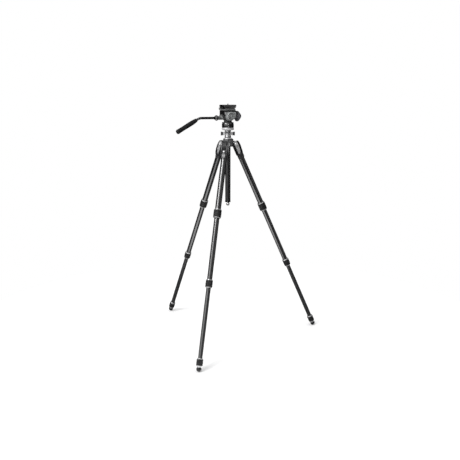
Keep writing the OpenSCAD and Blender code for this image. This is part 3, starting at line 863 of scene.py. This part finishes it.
def hook_spring():
    """A coil inside the column's end. The real spring shortens when the hook is pulled down; this coil
    keeps its shape.
    """
    node = "hook_spring"
    low, high = extent(node, WORLD)
    wire, turns, steps = 0.9, 6, 24
    radius = high.x - wire
    height = high.z - low.z
    path = []
    for k in range(turns * steps + 1):
        a = 2 * math.pi * k / steps
        rise = low.z + wire + (height - 2 * wire) * k / (turns * steps)
        path.append((radius * math.cos(a), radius * math.sin(a), rise))
    coil = piece(node, "coil", sweep(path, wire, WORLD, 10), "steel")
    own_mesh(coil)


def weight_hook():
    """A coated rod bent into an open hook, with a washer at the top that the spring pushes on."""
    node = "weight_hook"
    low, high = extent(node, WORLD)
    rod, bend = 2.8, 6.2
    centre = low.z + rod + bend
    path = [(0, 0, high.z - 1), (0, 0, centre + 2 * bend), (0, 0, centre + bend + 1.2)]
    for degrees in range(90, -205, -12):
        a = math.radians(degrees)
        path.append((bend * math.cos(a), 0, centre + bend * math.sin(a)))
    top = high.z
    washer = [(0, top - 3), (7.4, top - 3), (8, top - 2.6), (8, top - 0.4), (7.4, top), (0, top)]
    piece(node, "rod", sweep(path, rod, WORLD, 16), "black_alloy", NODE_PAINT[node])
    piece(node, "washer", lathe(washer, WORLD, segments=48), "black_alloy", NODE_PAINT[node], extra=True)


def pad():
    """The plate's rubber pad, with a rounded upper edge and a hole round the screw."""
    node = "plate_pad"
    hole_r = 8.0
    low, high = extent(node, HEAD)
    outer = rounded_outline(high.x - low.x, high.y - low.y, 2)
    upper = [(x * 0.99, y * 0.99) for x, y in outer]
    hole = [tuple(Vector(point).normalized() * hole_r) for point in outer]
    levels = ((outer, low.z), (outer, high.z - 0.3), (upper, high.z), (hole, high.z), (hole, low.z))
    bm = bmesh.new()
    rings = [[bm.verts.new((x, y, z)) for x, y in outline] for outline, z in levels]
    joined(bm, rings, closed=True)
    bm.transform(HEAD)
    piece(node, "rubber", finished(bm), "grip_rubber", NODE_PAINT[node])


# ---- Everything else keeps its CAD shape, with rounded edges ----

# cast parts, and how finely each is remeshed
CAST = {"spider": 0.8, "turret": 0.7, "tilt_cradle": 0.7, "bar_holder": 0.7}
# machined or moulded parts with rounder edges than the rest
EDGE = {"column_collar": 1.2}


def rest():
    """Casts or refines every CAD node that has no looks yet."""
    for node in sorted(set(NODES) - REPLACED):
        if node in CAST:
            piece(node, "cast", softened(node, CAST[node]), paint=NODE_PAINT.get(node))
        else:
            piece(node, "refined", refined(node, EDGE.get(node, 0.5)), paint=NODE_PAINT.get(node))


# ---- Stage ----

CAMERA_AZIMUTH = 15.84
# azimuths of the lights, in degrees to the right of the camera
SUN_AZIMUTH = -50
SOFT_BOX_AZIMUTH = -32
SIDE_BOX_AZIMUTH = 70
# strengths of the lights
CEILING = 1.3
LEFT_WALL = 0.6
SOFT_BOX = 0.8
SIDE_BOX = 0.3
FLOOR_GLOW_TO_GLOSS = 1.6


def bearing(azimuth, height, distance):
    """A place round the object. Azimuth 0 is the camera's, positive to the camera's right."""
    a = math.radians(azimuth + CAMERA_AZIMUTH)
    return Vector((distance * math.sin(a), -distance * math.cos(a), height))


def camera():
    """A viewing angle a little to the right of the front leg and slightly from above."""
    distance, pitch, height = 2.924, 12.1, 1.188
    data = bpy.data.cameras.new("camera")
    data.lens = 45.44
    data.sensor_width = 36
    data.shift_x = 0.0047
    data.clip_start = 0.05
    data.clip_end = 100
    obj = bpy.data.objects.new("camera", data)
    obj.location = bearing(0, height, distance)
    obj.rotation_euler = (math.radians(90 - pitch), 0, math.radians(CAMERA_AZIMUTH))
    bpy.context.scene.collection.objects.link(obj)
    bpy.context.scene.camera = obj


def sun():
    """Soft light from the left, for the shadows of the feet."""
    place, aim = bearing(SUN_AZIMUTH, 3.2, 2.6), Vector((0, 0, 0.7))
    data = bpy.data.lights.new("sun", "SUN")
    data.energy = 1.2
    data.angle = math.radians(24)
    obj = bpy.data.objects.new("sun", data)
    obj.location = place
    obj.rotation_euler = (aim - place).to_track_quat("-Z", "Y").to_euler()
    bpy.context.scene.collection.objects.link(obj)


class Room:
    """A world whose light comes from given directions, and a few short ways to wire its nodes."""

    def __init__(self):
        self.world = bpy.data.worlds.new("room")
        self.world.use_nodes = True
        self.nodes = self.world.node_tree.nodes
        self.links = self.world.node_tree.links
        self.nodes.clear()
        self.place = self.nodes.new("ShaderNodeTexCoord").outputs["Generated"]

    def linked(self, kind, operation, a, b=None):
        node = self.nodes.new(kind)
        node.operation = operation
        self.links.new(a, node.inputs[0])
        if isinstance(b, bpy.types.NodeSocket):
            self.links.new(b, node.inputs[1])
        elif b is not None:
            node.inputs[1].default_value = b
        return node.outputs

    def ramp(self, value, low, high, strength):
        """From none at low to the strength at high, as a soft step."""
        node = self.nodes.new("ShaderNodeMapRange")
        node.interpolation_type = "SMOOTHSTEP"
        for socket, number in zip(node.inputs[1:5], (low, high, 0, strength)):
            socket.default_value = number
        self.links.new(value, node.inputs[0])
        return node.outputs[0]

    def facing(self, place, direction):
        """The cosine of the angle between a place and a direction, both of length one."""
        return self.linked("ShaderNodeVectorMath", "DOT_PRODUCT", place, direction)["Value"]

    def glow(self, direction, low, high, strength):
        """Light from around a direction: none where its cosine is under low, all of it over high."""
        return self.ramp(self.facing(self.place, direction), low, high, strength)

    def soft_box(self, azimuth, half_width, strength):
        """Light from a span of azimuths in degrees, from the floor to well above the object."""
        blur = 6
        flat = self.linked("ShaderNodeVectorMath", "MULTIPLY", self.place, Vector((1, 1, 0)))["Vector"]
        level = self.linked("ShaderNodeVectorMath", "NORMALIZE", flat)["Vector"]
        low, high = (math.cos(math.radians(half_width + edge)) for edge in (blur, -blur))
        across = self.ramp(self.facing(level, bearing(azimuth, 0, 1)), low, high, strength)
        lift = self.facing(self.place, Vector((0, 0, 1)))
        above_floor = self.ramp(lift, -0.2, 0.0, 1)
        below_top = self.ramp(lift, 0.95, 0.75, 1)
        tall = self.linked("ShaderNodeMath", "MULTIPLY", above_floor, below_top)[0]
        return self.linked("ShaderNodeMath", "MULTIPLY", across, tall)[0]

    def background(self, *strengths):
        """White light as strong as all the given strengths together, or of strength one without any."""
        node = self.nodes.new("ShaderNodeBackground")
        node.inputs[0].default_value = (1, 1, 1, 1)
        total = None
        for strength in strengths:
            total = self.linked("ShaderNodeMath", "ADD", strength, total)[0] if total else strength
        if total:
            self.links.new(total, node.inputs[1])
        return node.outputs[0]

    def chosen(self, share, a, b):
        node = self.nodes.new("ShaderNodeMixShader")
        for value, socket in zip((share, a, b), node.inputs):
            self.links.new(value, socket)
        return node.outputs[0]


def world():
    """White to the camera. Matt surfaces are lit from a wide ceiling and the left. Gloss mirrors a tall
    soft box beside the camera, a dim one on the right, and a faint ceiling."""
    room = Room()
    up = Vector((0, 0, 1))
    left = bearing(SUN_AZIMUTH, 0.12, 1).normalized()
    lit = room.background(room.glow(up, 0.1, 1.0, CEILING), room.glow(left, 0.2, 0.9, LEFT_WALL))
    faint_ceiling = room.glow(up, 0.5, 1.0, CEILING / 3)
    main_box = room.soft_box(SOFT_BOX_AZIMUTH, 40, SOFT_BOX)
    side_box = room.soft_box(SIDE_BOX_AZIMUTH, 14, SIDE_BOX)
    mirrored = room.background(faint_ceiling, main_box, side_box)
    path = room.nodes.new("ShaderNodeLightPath").outputs
    unseen = room.chosen(path["Is Glossy Ray"], lit, mirrored)
    seen = room.chosen(path["Is Camera Ray"], unseen, room.background())
    room.links.new(seen, room.nodes.new("ShaderNodeOutputWorld").inputs[0])
    bpy.context.scene.world = room.world


def floor_paper():
    """A pale paper sweep. To gloss rays it glows, bright before the soft box and dim elsewhere: a painted
    reflection of the lit paper.
    """
    s = Shader("paper")
    fibres = s.noise(220, 3.0)
    s.bump(fibres, 0.05, 0.2)
    towards = bearing(SOFT_BOX_AZIMUTH, 0, 1)
    x, y, _ = s.own_axes(Matrix.Identity(4))
    facing = s.math("DIVIDE", s.add(s.times(x, towards.x), s.times(y, towards.y)), s.distance(x, y))
    # a glow seen only by gloss rays, a painted reflection of the lit paper
    gloss = s.mix(s.ranged(facing, 0.7, 0.85, 0, 1), (0.05, 0.05, 0.05), (1.0, 1.0, 1.0))
    mirrored = s.nodes.new("ShaderNodeLightPath").outputs["Is Glossy Ray"]
    s.wire(gloss, s.surface.inputs["Emission Color"])
    s.wire(s.times(mirrored, FLOOR_GLOW_TO_GLOSS), s.surface.inputs["Emission Strength"])
    paper = s.mix(fibres, (0.93, 0.93, 0.93), (0.96, 0.96, 0.96))
    return s.finish(s.mix(mirrored, paper, (0.0, 0.0, 0.0)), 0.9)


def floor():
    """A round pale sheet under the object."""
    radius, below = 1.5, 0.0002
    bm = bmesh.new()
    place = Matrix.Translation((0, 0, -below))
    bmesh.ops.create_circle(bm, cap_ends=True, radius=radius, segments=128, matrix=place)
    mesh = bpy.data.meshes.new("floor")
    bm.to_mesh(mesh)
    bm.free()
    mesh.materials.append(floor_paper())
    obj = bpy.data.objects.new("floor", mesh)
    bpy.context.scene.collection.objects.link(obj)


def stage():
    """The surroundings: floor, light and camera."""
    floor()
    sun()
    world()
    camera()
    bpy.context.scene.view_settings.view_transform = "Standard"


painted("column_tube", SLOT_PAINT["carbon_tube"])
for side in SIDES:
    tubes(side)
    twist_locks(side)
    casting(side)
    latch(side)
    foot(side)
lock_cone()
axis_cap()
knurled("pan_lock_knob", "pan_lock_turn", -4.6, 16, "grip_rubber")
knurled("rosette_knob", "rosette_lock_turn", 3.9, 12, "grip_rubber", depth=0.9)
knurled("clamp_knob", "clamp_screw_turn", -4.7, 18, "light_alloy", pin=1.5)
bar_collar()
grip()
hook_spring()
weight_hook()
pad()
rest()
stage()
